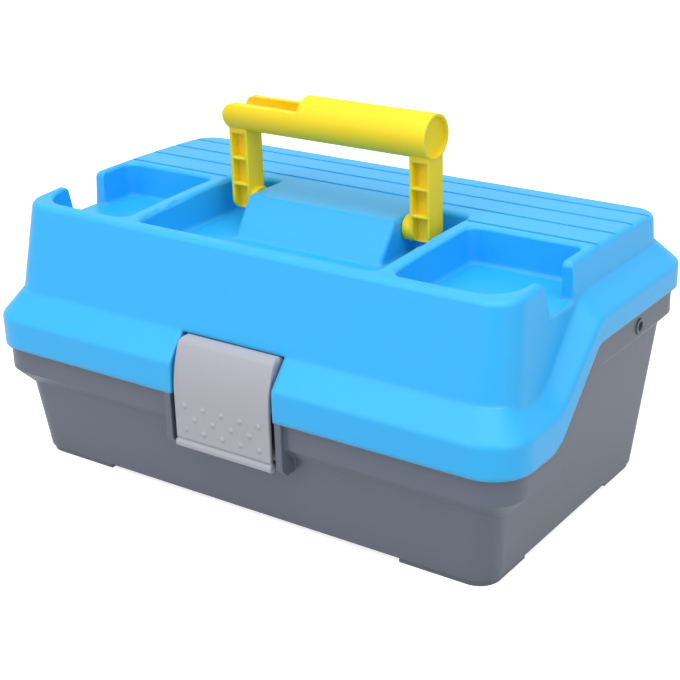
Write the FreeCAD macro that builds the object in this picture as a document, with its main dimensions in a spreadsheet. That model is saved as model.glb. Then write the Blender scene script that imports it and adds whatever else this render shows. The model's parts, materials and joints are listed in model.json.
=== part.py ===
import FreeCAD, Part
import math
import os
import re
from types import SimpleNamespace
from FreeCAD import Placement, Rotation, Vector

# Tackle box with a stepped parting line, a lid with moulded top pockets and one cantilever tray.
# Millimetres, +Z up, +X to the right, the front with its latch faces -Y.
# X is centred on the box and Y on the lid, and Z starts under the feet.
# The last lines shift everything in Y, so that Y = 0 is the middle of the whole box.

document = FreeCAD.newDocument("tackle_box")
sheet = document.addObject("Spreadsheet::Sheet", "Sizes")

SIZES = {
    # lid and base outline
    "lid_length": 330.0,
    "lid_width": 192.0,
    "lid_corner": 21.5,
    "wall": 2.5,
    "parting_front": 66.4,
    "step_rise": 39.8,
    "rear_lid_height": 40.3,
    "parting_rear": "parting_front + step_rise",
    "deck_height": "parting_rear + rear_lid_height",
    "step_from_front": 46.0,
    "step_run": 40.0,
    "step_foot_radius": 20.0,
    "step_head_radius": 8.0,
    # lid skirt and body
    "band_height": 16.5,
    "band_height_rear": 12.3,
    "band_edge_radius": 3.0,
    "shoulder_inset": 12.0,
    "shoulder_rise": 13.8,
    "shoulder_rise_rear": 11.2,
    "shoulder_lag": 3.0,
    "skirt_foot_radius": 20.0,
    "skirt_head_radius": 13.0,
    "skirt_radius_growth": 8.0,
    "body_end_foot_inset": 9.5,
    "body_end_top_inset": 13.5,
    "body_front_foot_inset": 12.0,
    "body_front_top_inset": 22.5,
    "body_rear_foot_inset": 8.6,
    "body_rear_top_inset": 9.8,
    "body_foot_corner": 17.0,
    "body_top_corner": 14.0,
    "crown_drop": 3.0,
    "deck_edge_radius": 3.3,
    "groove_width": 2.4,
    "groove_depth": 1.2,
    "groove_pitch": 19.3,
    "groove_from_rear": 24.2,
    # top pockets
    "pocket_floor_share": 0.5037,
    "pocket_floor": "parting_rear + rear_lid_height * pocket_floor_share",
    "pocket_from_front": 30.5,
    "pocket_front": "lid_width / 2 - pocket_from_front",
    "pocket_back": 8.5,
    "pocket_corner": 6.5,
    "pocket_front_corner": 18.0,
    "pocket_foot_radius": 1.5,
    "pocket_rim_radius": 2.0,
    "divider_from_block": 32.0,
    "divider_middle": "block_half_width + divider_from_block",
    "divider_thickness": 8.0,
    "groove_start": "divider_middle - groove_end_gap",
    "groove_end_gap": 1.5,
    "end_lip": 5.5,
    "end_notch_rear": 14.7,
    "end_notch_foot": 39.5,
    "end_notch_top": 43.5,
    "end_notch_radius": 4.0,
    "recess_back": 22.0,
    "recess_corner": 5.0,
    "block_half_width": 47.0,
    "block_top_front": 6.7,
    "block_foot_front": 21.5,
    "block_edge_radius": 2.6,
    # handle
    "handle_pivot_back": 5.5,
    "handle_pivot_depth": 6.0,
    "handle_pivot_height": "deck_height - handle_pivot_depth",
    "handle_reach": 49.5,
    "handle_disc_radius": 6.8,
    "handle_disc_width": 4.6,
    "handle_disc_gap": 0.4,
    "leg_inner": "block_half_width + handle_disc_width",
    "leg_shift": 0.8,
    "leg_width": 11.8,
    "leg_depth": 13.0,
    "leg_wall": 1.5,
    "leg_channel_depth": 4.5,
    "leg_rib": 1.5,
    "leg_end_bar": 1.1,
    "grip_diameter": 23.4,
    "grip_wall": 2.8,
    "grip_past_leg": 1.1,
    "grip_half_length": "leg_inner + leg_width + grip_past_leg",
    "grip_short_left": 0.6,
    "grip_left": "leg_inner + leg_width - grip_short_left",
    "grip_cut_above_middle": 4.8,
    "grip_cut_end": 14.0,
    "grip_end_radius": 7.0,
    "grip_web": 2.4,
    "grip_recess_depth": 2.4,
    "grip_recess_rim": 1.4,
    "trunnion_diameter": 6.4,
    "trunnion_tail": 3.0,
    "pivot_clearance": 0.1,
    # base
    "rim_inset": 3.0,
    "rim_height": 14.5,
    "rim_underside_drop": 12.1,
    "rim_underside_run": 11.0,
    "rim_underside_lag": 19.8,
    "ledge_inset": 1.5,
    "ledge_height": 1.0,
    "ledge_drop": 0.7,
    "seat_inset": 2.1,
    "lip_height": 3.0,
    "lip_stop": 30.0,
    "lip_end_gap": 0.4,
    "tub_past_tray": 0.3,
    "tub_end_inset": "tray_end_gap - tub_past_tray",
    "tub_side_inset": 14.6,
    "tub_draft": 10.0,
    "tub_corner": 12.0,
    "foot_height": 3.0,
    "foot_end_reach": 70.0,
    "foot_side_reach": 52.0,
    "foot_edge": 1.2,
    # latch and its seat
    "latch_axis_inset": 10.5,
    "latch_axis_rise": 24.8,
    "latch_axis_front": "lid_width / 2 - latch_axis_inset",
    "latch_axis_height": "parting_front + latch_axis_rise",
    "latch_head_radius": 5.5,
    "latch_half_width": 30.2,
    "latch_thickness": 2.2,
    "latch_corner": 3.0,
    "latch_proud": 0.2,
    "latch_front": "lid_width / 2 + latch_proud",
    "latch_bow_rise": 0.6,
    "latch_bow_height": "parting_front + latch_bow_rise",
    "latch_drop": 26.4,
    "latch_foot_height": "parting_front - latch_drop",
    "latch_flange": 2.4,
    "latch_flange_rise": 2.6,
    "latch_flange_foot": "parting_front + latch_flange_rise",
    "latch_lip_radius": 2.4,
    "latch_lip_depth": 7.6,
    "latch_lip_overhang": 0.4,
    "latch_groove": 0.9,
    "latch_bump_diameter": 3.2,
    "latch_bump_height": 0.9,
    "latch_bump_pitch": 11.8,
    "latch_bump_row": 6.6,
    "latch_bump_drop": 4.4,
    "latch_bump_top": "parting_front - latch_bump_drop",
    "notch_side_gap": 2.4,
    "notch_half_width": "latch_half_width + notch_side_gap",
    "notch_head_gap": 0.5,
    "notch_back": "latch_axis_front - latch_head_radius - notch_head_gap",
    "notch_top_gap": 0.4,
    "notch_step_inset": 11.0,
    "notch_step": "lid_width / 2 - notch_step_inset",
    "notch_step_rise": 13.8,
    "notch_step_height": "parting_front + notch_step_rise",
    "lug_middle": 13.0,
    "lug_width": 6.0,
    "lug_radius": 3.2,
    "lug_gap": 0.5,
    "latch_pin_diameter": 3.0,
    "latch_pin_cover": 1.0,
    "ear_gap": 0.9,
    "ear_inner": "notch_half_width + ear_gap",
    "ear_thickness": 3.7,
    "ear_drop": 29.4,
    "ear_foot": "parting_front - ear_drop",
    "catch_end_gap": 6.2,
    "catch_half_width": "latch_half_width - catch_end_gap",
    "catch_drop": 17.4,
    "catch_top": "parting_front - catch_drop",
    "catch_height": 4.5,
    "catch_gap": 0.4,
    # lid hinge
    "hinge_gap": 0.6,
    "hinge_behind_lid": "knuckle_radius + hinge_gap",
    "knuckle_radius": 3.6,
    "knuckle_length": 12.0,
    "knuckle_gap": 0.4,
    "knuckle_inner": 62.0,
    "hinge_pin_diameter": 3.0,
    "pin_head_radius": 2.8,
    "pin_head_height": 1.4,
    # tray mechanism
    "arm_pivot_from_rear": 55.5,
    "arm_pivot_back": "lid_width / 2 - arm_pivot_from_rear",
    "arm_pin_below_rim": 14.5,
    "arm_pivot_height": "tray_top - arm_pin_below_rim - arm_rise",
    "arm_run": 50.0,
    "arm_rise": 8.0,
    "arm_thickness": 2.5,
    "arm_radius": 6.0,
    "arm_from_tray": 1.8,
    "rivet_diameter": 7.0,
    "rivet_wall": 0.8,
    "rivet_flange_edge": 0.7,
    "rivet_bore": "rivet_diameter - 2 * rivet_wall",
    "rivet_flange_diameter": "rivet_diameter + 2 * rivet_flange_edge",
    "rivet_flange": 0.8,
    "arm_boss_diameter": 14.0,
    "side_gap": 0.3,
    "tray_pin_diameter": 4.0,
    "tray_pin_head": 7.0,
    "tray_pin_head_height": 1.0,
    "lid_boss_diameter": 9.0,
    "lid_pin_clearance": 0.2,
    # tray and its loose dividers
    "tray_end_gap": 19.0,
    "tray_half_length": "lid_length / 2 - tray_end_gap",
    "tray_from_front": 28.0,
    "tray_front": "lid_width / 2 - tray_from_front",
    "tray_from_rear": 26.0,
    "tray_back": "lid_width / 2 - tray_from_rear",
    "tray_above_hinge": 13.3,
    "tray_top": "parting_rear + tray_above_hinge",
    "tray_height": 29.5,
    "tray_floor": "tray_top - tray_height",
    "tray_wall": 2.0,
    "tray_corner": 10.0,
    "tray_rim": 1.4,
    "tray_rim_height": 2.5,
    "plate_thickness": 1.6,
    "plate_clearance": 0.3,
    "plate_below_top": 3.0,
    "guide_depth": 1.5,
    "guide_width": 1.4,
    # shared
    "overrun": 5.0,
}

# How far along each half row a loose divider stands, and the rows' shares of the tray's depth.
DIVIDER_PLACE_SHARES = (0.36, 0.60, 0.44)
TRAY_ROW_SHARES = (0.34, 0.30, 0.36)
# Between which shares of the shoulder's inset the skirt's end surface is drawn, and where it starts to count.
SKIRT_REACH_SHARES = (-0.02, 2.6)
SKIRT_WINDOW_SHARE = 2.4
# The rim's end surfaces count from this share of half the length outwards.
RIM_WINDOW_SHARE = 0.8
# How much the latch's plate bows out, as a share of the bow's height.
# Heels of the lugs' and flanges' sections, as shares of the eye's and the head's radius.
LUG_FLANK_SHARE = 0.7
LUG_HEEL_SHARE = 0.9
FLANGE_HEEL_SHARES = (0.6, 0.75)
HEAD_SLOT_SHARE = 0.32
GROOVE_COUNT = 4
LEG_CELLS = 3
LATCH_BUMP_COUNTS = (5, 4, 5)

for row, alias in enumerate(SIZES, start=1):
    sheet.set(f"A{row}", alias)
    sheet.setAlias(f"B{row}", alias)
for row, value in enumerate(SIZES.values(), start=1):
    sheet.set(f"B{row}", f"={value}" if isinstance(value, str) else repr(value))
document.recompute()

s = SimpleNamespace(**{alias: float(sheet.get(alias)) for alias in SIZES})
ALIAS_PATTERN = re.compile(r"\b(" + "|".join(sorted(SIZES, key=len, reverse=True)) + r")\b")


def expression(text):
    """An expression of the sheet's cells, from their bare names."""
    return ALIAS_PATTERN.sub(r"Sizes.\1", text)


def bind(item, **properties):
    """Ties properties to the sheet, with dots in a property written as two underscores."""
    for name, text in properties.items():
        item.setExpression(name.replace("__", "."), expression(text))
    return item


def block(name, x0, x1, y0, y1, z0, z1):
    """A box between two corners, each coordinate an expression."""
    item = document.addObject("Part::Box", name)
    return bind(item, Length=f"({x1}) - ({x0})", Width=f"({y1}) - ({y0})", Height=f"({z1}) - ({z0})",
                Placement__Base__x=x0, Placement__Base__y=y0, Placement__Base__z=z0)


def rod(name, radius, x0, x1, y, z):
    """A cylinder along X from x0 to x1."""
    item = document.addObject("Part::Cylinder", name)
    item.Placement = Placement(Vector(), Rotation(Vector(0, 1, 0), 90))
    return bind(item, Radius=radius, Height=f"({x1}) - ({x0})",
                Placement__Base__x=x0, Placement__Base__y=y, Placement__Base__z=z)


def fuse(name, items):
    joined = document.addObject("Part::MultiFuse", name)
    joined.Shapes = items
    joined.Refine = True
    return joined


def cut(name, base, tool):
    result = document.addObject("Part::Cut", name)
    result.Base = base
    result.Tool = tool
    result.Refine = True
    return result


def feature(name, shape):
    item = document.addObject("Part::Feature", name)
    item.Shape = shape
    return item


# Plain shape helpers for the two moulded shells.

half_length = s.lid_length / 2
half_width = s.lid_width / 2
step_foot = -half_width + s.step_from_front
step_head = step_foot + s.step_run
far = s.lid_length


def rounded_rectangle(x_half, y_front, y_back, corner, height, front_right=None):
    """A closed wire in the plane z = height, with a corner radius of its own at the front right."""
    last = corner if front_right is None else front_right
    points = []
    centres = ((x_half - corner, y_back - corner, corner, 0), (corner - x_half, y_back - corner, corner, 90),
               (corner - x_half, y_front + corner, corner, 180), (x_half - last, y_front + last, last, 270))
    for x, y, radius, start in centres:
        for turn in (0, 45, 90):
            angle = math.radians(start + turn)
            points.append(Vector(x + radius * math.cos(angle), y + radius * math.sin(angle), height))
    edges = []
    for first in range(0, len(points), 3):
        a, b, c = points[first:first + 3]
        edges.append(Part.Arc(a, b, c).toShape())
        edges.append(Part.makeLine(c, points[(first + 3) % len(points)]))
    return Part.Wire(edges)


def frustum(lower, upper):
    """A solid between two rounded rectangles, each (x_half, y_front, y_back, corner, height)."""
    return Part.makeLoft([rounded_rectangle(*lower), rounded_rectangle(*upper)], True, True)


def outline(inset, height, corner=None):
    """The lid's outline drawn in by an inset, as the arguments of a rounded rectangle."""
    radius = max(s.lid_corner - inset, s.lid_corner / 2) if corner is None else corner
    return (half_length - inset, inset - half_width, half_width - inset, radius, height)


def cuboid(x0, x1, y0, y1, z0, z1):
    return Part.makeBox(x1 - x0, y1 - y0, z1 - z0, Vector(x0, y0, z0))


def corner_arc(corner, before, after, radius):
    """The arc that rounds a corner between two directions of travel: its start, edge and end."""
    reach = radius * math.tan(before.getAngle(after) / 2)
    start = corner - before * reach
    end = corner + after * reach
    inward = (after - before).normalize()
    middle = corner + inward * (math.hypot(reach, radius) - radius)
    return start, Part.Arc(start, middle, end).toShape(), end


def step_profile(x, low, climb, shift, foot_radius, head_radius, reach, above=False):
    """A closed wire at x, below or above a line that starts at the height low and climbs at the step.

    It runs on by the reach in front of the step's foot, behind its head, and up or down.
    """
    foot = Vector(x, step_foot + shift, low)
    head = Vector(x, step_head + shift, low + climb)
    slope = (head - foot).normalize()
    flat = Vector(0, 1, 0)
    foot_in, foot_arc, foot_out = corner_arc(foot, flat, slope, foot_radius)
    head_in, head_arc, head_out = corner_arc(head, slope, flat, head_radius)
    limit = low + climb + reach if above else low - reach
    front = Vector(x, step_foot - reach, low)
    back = Vector(x, step_head + reach, low + climb)
    ends = [Vector(x, back.y, limit), Vector(x, front.y, limit)]
    return Part.Wire([Part.makeLine(front, foot_in), foot_arc, Part.makeLine(foot_out, head_in), head_arc,
                      Part.makeLine(head_out, back), Part.makeLine(back, ends[0]),
                      Part.makeLine(ends[0], ends[1]), Part.makeLine(ends[1], front)])


def step_face(x, low, shift, above):
    """The parting step's own section at x, as a face."""
    wire = step_profile(x, low, s.step_rise, shift, s.step_foot_radius, s.step_head_radius, 3 * far, above)
    return Part.Face(wire)


def step_prism(lift, above=False):
    """Everything below or above the parting step lifted by some height, straight along X."""
    return step_face(-far, s.parting_front + lift, 0, above).extrude(Vector(2 * far, 0, 0))


def mirrored(shape):
    return shape.mirror(Vector(), Vector(1, 0, 0))


def pair(shape):
    return shape.fuse(mirrored(shape))


def on_outline(edge, inset):
    """Whether an edge runs along the lid's outline drawn in by an inset, other than straight up."""
    extent = edge.BoundBox
    if extent.XLength < s.pivot_clearance and extent.YLength < s.pivot_clearance:
        return False
    radius = outline(inset, 0)[3]
    for point in edge.discretize(7):
        x = half_length - inset - abs(point.x)
        y = half_width - inset - abs(point.y)
        corner = radius - math.hypot(radius - x, radius - y) if x < radius and y < radius else min(x, y)
        if abs(corner) > s.pivot_clearance / 2:
            return False
    return True


# Lid, one moulding: band, sloped shoulder, drafted body, crowned deck.

body_foot_height = s.parting_front + s.band_height + s.shoulder_rise
deck_edge_height = s.deck_height - s.crown_drop
body_front_top = s.body_front_top_inset - half_width
body_rear_top = half_width - s.body_rear_top_inset
crown_middle = (body_front_top + body_rear_top) / 2
crown_half = (body_rear_top - body_front_top) / 2
crown_radius = (crown_half ** 2 + s.crown_drop ** 2) / (2 * s.crown_drop)


def body_section(height, inset):
    """The lid body's outline at a height, drawn in by an inset."""
    share = (height - body_foot_height) / (deck_edge_height - body_foot_height)
    x_inset = s.body_end_foot_inset + share * (s.body_end_top_inset - s.body_end_foot_inset)
    front_inset = s.body_front_foot_inset + share * (s.body_front_top_inset - s.body_front_foot_inset)
    rear_inset = s.body_rear_foot_inset + share * (s.body_rear_top_inset - s.body_rear_foot_inset)
    corner = s.body_foot_corner + share * (s.body_top_corner - s.body_foot_corner)
    return (half_length - x_inset - inset, front_inset + inset - half_width,
            half_width - rear_inset - inset, corner - inset, height)


def crown(top):
    """A round-topped slab across the whole lid, whose crest is at the height top."""
    centre = Vector(-far, crown_middle, top - crown_radius)
    return Part.makeCylinder(crown_radius, 2 * far, centre, Vector(1, 0, 0))


def crown_height(y):
    """The height of the crowned deck over a place along the width."""
    return s.deck_height - crown_radius + math.sqrt(crown_radius ** 2 - (y - crown_middle) ** 2)


def rim_edges(form, x0, x1, y1):
    """The edges where a top pocket between x0 and x1 and in front of y1 meets the deck."""
    room = s.pivot_clearance
    found = []
    for edge in form.Edges:
        extent = edge.BoundBox
        inside = extent.XMin > x0 - room and extent.XMax < x1 + room and extent.YMax < y1 + room
        if edge.Degenerated or not inside or extent.YMin < -s.pocket_front - room:
            continue
        heights = [point.z - crown_height(point.y) for point in edge.discretize(5)]
        if max(map(abs, heights)) < room / 2:
            found.append(edge)
    return found


def on_block_side(edge):
    """Whether an edge is one of the two slanted ones at the block's front corners."""
    extent = edge.BoundBox
    room = s.pivot_clearance
    return (extent.XLength < room and abs(abs(extent.XMin) - s.block_half_width) < room and
            extent.YLength > s.wall and extent.ZLength > s.wall and extent.YMax < room - s.block_top_front)


def lid_body(inset, top):
    """The drafted body under its crowned deck."""
    low = body_foot_height - s.shoulder_rise
    high = s.deck_height + s.wall
    return frustum(body_section(low, inset), body_section(high, inset)).common(crown(top))


def lid_skirt(inset, drop):
    """The band and shoulder, with the step's surface that turns inwards at both ends."""
    low_top = s.parting_front + s.band_height - drop
    high_top = s.parting_rear + s.band_height_rear - drop
    start = s.parting_front - s.overrun
    low_stack = frustum(outline(inset, start), outline(inset, low_top)).fuse(
        frustum(outline(inset, low_top), outline(inset + s.shoulder_inset, low_top + s.shoulder_rise)))
    high_stack = frustum(outline(inset, start), outline(inset, high_top)).fuse(
        frustum(outline(inset, high_top), outline(inset + s.shoulder_inset, high_top + s.shoulder_rise_rear)))
    behind = cuboid(-far, far, step_head + 3 * s.step_head_radius, far, 0, far)
    profiles = []
    for share in SKIRT_REACH_SHARES:
        climb = high_top - low_top + share * (s.shoulder_rise_rear - s.shoulder_rise)
        growth = share * s.skirt_radius_growth
        profiles.append(step_profile(
            half_length - inset - share * s.shoulder_inset, low_top + share * s.shoulder_rise, climb,
            drop + share * s.shoulder_lag, s.skirt_foot_radius + growth, s.skirt_head_radius + growth,
            2 * s.step_run))
    skew = Part.makeLoft(profiles, True, True)
    room = frustum(outline(inset, start), outline(inset, high_top + s.shoulder_rise_rear))
    window = cuboid(half_length - SKIRT_WINDOW_SHARE * s.shoulder_inset, far, step_foot - s.step_run / 2,
                    step_head + s.step_run, 0, far)
    return low_stack.fuse(high_stack.common(behind)).fuse(pair(room.common(skew).common(window)))


def upright_pocket(x0, x1, y0, y1, floor, corner, foot_radius, front_right=None):
    """A cutter for a pocket with round upright corners and a round foot."""
    middle = (x0 + x1) / 2
    wire = rounded_rectangle((x1 - x0) / 2, y0, y1, corner, floor, front_right)
    wire.translate(Vector(middle, 0, 0))
    solid = Part.Face(wire).extrude(Vector(0, 0, s.deck_height + s.overrun - floor))
    if foot_radius > 0:
        feet = [edge for edge in solid.Edges if edge.BoundBox.ZMax < floor + foot_radius / 2]
        solid = solid.makeFillet(foot_radius, feet)
    return solid


pocket_inner = s.divider_middle + s.divider_thickness / 2
recess_half = s.divider_middle - s.divider_thickness / 2
pocket_outer = half_length - s.body_end_top_inset - s.end_lip


def block_solid(shrink):
    """The block that carries the handle, with its sloped front."""
    floor = s.pocket_floor - s.wall - s.overrun
    slope = (s.block_foot_front - s.block_top_front) / (s.deck_height - s.pocket_floor)
    front_low = -s.block_foot_front - slope * (s.pocket_floor - floor) + shrink
    top = s.deck_height + s.overrun if shrink == 0 else s.deck_height - shrink
    front_high = -s.block_foot_front + slope * (top - s.pocket_floor) + shrink
    back = s.recess_back + s.overrun
    profile = [Vector(0, front_low, floor), Vector(0, back, floor), Vector(0, back, top),
               Vector(0, front_high, top), Vector(0, front_low, floor)]
    half = s.block_half_width - shrink
    face = Part.Face(Part.makePolygon(profile))
    face.translate(Vector(-half, 0, 0))
    return face.extrude(Vector(2 * half, 0, 0))


def end_notch():
    """The notch from the right-hand pocket out through the end wall, eased at both its top corners."""
    x = pocket_outer - s.wall
    front_foot = Vector(x, -s.end_notch_foot, s.pocket_floor)
    front_corner = Vector(x, -s.end_notch_top, crown_height(-s.end_notch_top))
    rear_foot = Vector(x, -s.end_notch_rear, s.pocket_floor)
    rear_corner = Vector(x, rear_foot.y, crown_height(rear_foot.y))
    ahead, up = Vector(0, 1, 0), Vector(0, 0, 1)
    front_in, front_ease, front_out = corner_arc(front_corner, ahead, (front_foot - front_corner).normalize(),
                                                 s.end_notch_radius)
    rear_in, rear_ease, rear_out = corner_arc(rear_corner, up, ahead, s.end_notch_radius)
    ends = [Vector(x, y, s.deck_height + s.overrun) for y in (rear_out.y, front_in.y)]
    wire = Part.Wire([front_ease, Part.makeLine(front_out, front_foot), Part.makeLine(front_foot, rear_foot),
                      Part.makeLine(rear_foot, rear_in), rear_ease, Part.makeLine(rear_out, ends[0]),
                      Part.makeLine(ends[0], ends[1]), Part.makeLine(ends[1], front_in)])
    return Part.Face(wire).extrude(Vector(body_section(s.pocket_floor, 0)[0] - x, 0, 0))


body_outer = lid_body(0, s.deck_height).removeSplitter()
top_edges = [edge for edge in body_outer.Edges if edge.BoundBox.ZMin > deck_edge_height - s.crown_drop]
body_outer = body_outer.makeFillet(s.deck_edge_radius, top_edges)
lid_form = lid_skirt(0, 0).removeSplitter().fuse(body_outer).removeSplitter()
band_edges = [edge for edge in lid_form.Edges
              if on_outline(edge, 0) and edge.BoundBox.ZMin > s.parting_front + s.band_height / 2]
lid_form = lid_form.makeFillet(s.band_edge_radius, band_edges)

end_pocket = upright_pocket(pocket_inner, pocket_outer, -s.pocket_front, s.pocket_back,
                            s.pocket_floor, s.pocket_corner, s.pocket_foot_radius, s.pocket_front_corner)
end_pocket_liner = upright_pocket(pocket_inner - s.wall, half_length, -s.pocket_front - s.wall,
                                  s.pocket_back + s.wall, s.pocket_floor - s.wall, s.pocket_corner, 0)
recess = upright_pocket(-recess_half, recess_half, -s.pocket_front, s.recess_back,
                        s.pocket_floor, s.recess_corner, s.pocket_foot_radius)
recess_liner = upright_pocket(-recess_half - s.wall, recess_half + s.wall, -s.pocket_front - s.wall,
                              s.recess_back + s.wall, s.pocket_floor - s.wall, s.recess_corner, 0)
liners = pair(end_pocket_liner).fuse(recess_liner.cut(block_solid(s.wall)))

# Pockets and recess are cut from the solid form, and their rims and the block rounded, before it is hollowed.
lid_form = lid_form.cut(pair(end_pocket)).cut(recess.cut(block_solid(0))).removeSplitter()
block_edges = [edge for edge in lid_form.Edges if on_block_side(edge)]
recess_rims = rim_edges(lid_form, -recess_half, recess_half, s.recess_back)
lid_form = lid_form.makeFillet(s.block_edge_radius, recess_rims + block_edges)
for x0, x1 in ((pocket_inner, pocket_outer), (-pocket_outer, -pocket_inner)):
    lid_form = lid_form.makeFillet(s.pocket_rim_radius, rim_edges(lid_form, x0, x1, s.pocket_back))

# The latch's notch: a low box as far as the band, a deeper one above it, and a round room for its head.
notch_top = s.latch_axis_height + s.latch_head_radius + s.notch_top_gap
notch_low = cuboid(-s.notch_half_width, s.notch_half_width, -far, -s.notch_step,
                   s.parting_front - s.overrun, s.latch_axis_height)
notch_high = cuboid(-s.notch_half_width, s.notch_half_width, -far, -s.notch_back,
                    s.notch_step_height, s.latch_axis_height)
notch_front = cuboid(-s.notch_half_width, s.notch_half_width, -far, -s.latch_axis_front,
                     s.notch_step_height, notch_top)
notch_round = Part.makeCylinder(s.latch_head_radius + s.notch_head_gap, 2 * s.notch_half_width,
                                Vector(-s.notch_half_width, -s.latch_axis_front, s.latch_axis_height),
                                Vector(1, 0, 0))
notch = notch_low.fuse(notch_high).fuse(notch_front).fuse(notch_round)
notch_liner = cuboid(-s.notch_half_width - s.wall, s.notch_half_width + s.wall, -far,
                     -s.notch_step + s.wall, s.parting_front - s.overrun, notch_top).fuse(
    cuboid(-s.notch_half_width - s.wall, s.notch_half_width + s.wall, -far,
           -s.notch_back + s.wall, s.notch_step_height - s.wall, notch_top + s.wall))

lid_inner = lid_skirt(s.wall, s.wall / 2).fuse(lid_body(s.wall, s.deck_height - s.wall))
lid_shell = lid_form.cut(lid_inner.cut(liners.fuse(notch_liner)))
lid_shell = lid_shell.cut(notch).cut(pair(end_notch()))

groove_rear = half_width - s.groove_from_rear
for number in range(GROOVE_COUNT):
    y = groove_rear - number * s.groove_pitch
    front_row = number == GROOVE_COUNT - 1
    for side in (-1, 1):
        inner_end = s.groove_start if front_row else -s.overrun
        x0, x1 = sorted((side * inner_end, side * half_length))
        slab = cuboid(x0, x1, y - s.groove_width / 2, y + s.groove_width / 2, deck_edge_height - s.crown_drop,
                      s.deck_height + s.overrun)
        lid_shell = lid_shell.cut(slab.cut(crown(s.deck_height - s.groove_depth)))

# Latch lugs on the notch's back wall.
lug_foot = s.notch_step_height - s.latch_axis_height - s.wall
lug_back = s.latch_axis_front - s.notch_back
lug_profile = [(-s.lug_radius, 0), (-s.lug_radius, lug_foot), (lug_back, lug_foot),
               (lug_back, -s.latch_head_radius * LUG_HEEL_SHARE),
               (s.lug_radius * LUG_FLANK_SHARE, -s.lug_radius * LUG_FLANK_SHARE)]
for side in (-1, 1):
    x = side * s.lug_middle - s.lug_width / 2
    points = [Vector(x, y - s.latch_axis_front, z + s.latch_axis_height) for y, z in lug_profile]
    lug = Part.Face(Part.makePolygon(points + points[:1])).extrude(Vector(s.lug_width, 0, 0))
    eye = Part.makeCylinder(s.lug_radius, s.lug_width, Vector(x, -s.latch_axis_front, s.latch_axis_height),
                            Vector(1, 0, 0))
    lid_shell = lid_shell.fuse(lug).fuse(eye)
latch_pin_hole = Part.makeCylinder(s.latch_pin_diameter / 2, 2 * far,
                                   Vector(-far, -s.latch_axis_front, s.latch_axis_height), Vector(1, 0, 0))
lug_room = cuboid(-s.notch_half_width, s.notch_half_width, -half_width, -s.notch_back, 0, far)
lid_shell = lid_shell.cut(latch_pin_hole.common(lug_room))

# Trunnion holes in the block's sides.
trunnion_hole = Part.makeCylinder(s.trunnion_diameter / 2 + s.pivot_clearance, s.wall + s.overrun,
                                  Vector(s.block_half_width - s.wall - s.overrun / 2, s.handle_pivot_back,
                                         s.handle_pivot_height), Vector(1, 0, 0))
lid_shell = lid_shell.cut(pair(trunnion_hole))

# The lid's boss for the tray's rear pin, and the pin's hole.
hinge_y = half_width + s.hinge_behind_lid
hinge_z = s.parting_rear
rear_pin_y = hinge_y - s.arm_run
rear_pin_z = hinge_z + s.arm_rise
lid_boss_start = s.tray_half_length + s.tray_rim + s.side_gap
lid_boss = Part.makeCylinder(s.lid_boss_diameter / 2, half_length - s.wall / 2 - lid_boss_start,
                             Vector(lid_boss_start, rear_pin_y, rear_pin_z), Vector(1, 0, 0))
lid_boss_hole = Part.makeCylinder(s.tray_pin_diameter / 2, half_length - s.wall - lid_boss_start,
                                  Vector(lid_boss_start, rear_pin_y, rear_pin_z), Vector(1, 0, 0))
lid_shell = lid_shell.fuse(pair(lid_boss)).cut(pair(lid_boss_hole))
lid_shell = lid_shell.cut(step_prism(0))


def knuckle(x0, x1, low_side):
    """One hinge knuckle with its web, on the base (low side) or on the lid."""
    barrel = Part.makeCylinder(s.knuckle_radius, x1 - x0, Vector(x0, hinge_y, hinge_z), Vector(1, 0, 0))
    web_front = half_width - s.rim_inset - s.wall / 2 if low_side else half_width - s.wall / 2
    if low_side:
        web = cuboid(x0, x1, web_front, hinge_y, hinge_z - s.knuckle_radius, hinge_z - s.ledge_height)
    else:
        web = cuboid(x0, x1, web_front, hinge_y, hinge_z + s.knuckle_gap, hinge_z + s.knuckle_radius)
    return barrel.fuse(web)


def knuckle_span(number):
    """The X range of the hinge's knuckle with this number, counted outwards."""
    start = s.knuckle_inner + number * (s.knuckle_length + s.knuckle_gap)
    return start, start + s.knuckle_length


hinge_bore = Part.makeCylinder(s.hinge_pin_diameter / 2, 2 * far, Vector(-far, hinge_y, hinge_z),
                               Vector(1, 0, 0))
lid_knuckle = knuckle(*knuckle_span(1), False)
lid_shell = lid_shell.fuse(pair(lid_knuckle)).cut(hinge_bore).removeSplitter()
lid = feature("lid", lid_shell)

# Base, one moulding: drafted tub, rim that follows the step, ledge, lip, feet, ears and catch.

tub_top = s.parting_rear + s.overrun


def tub_section(height, inset):
    """The tub's outline at a height: it widens upwards with its draft."""
    growth = (height - s.foot_height) * s.tub_draft / half_width
    return (half_length - s.tub_end_inset + growth - inset,
            s.tub_side_inset - growth + inset - half_width,
            half_width - s.tub_side_inset + growth - inset, s.tub_corner - inset / 2, height)


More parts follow.
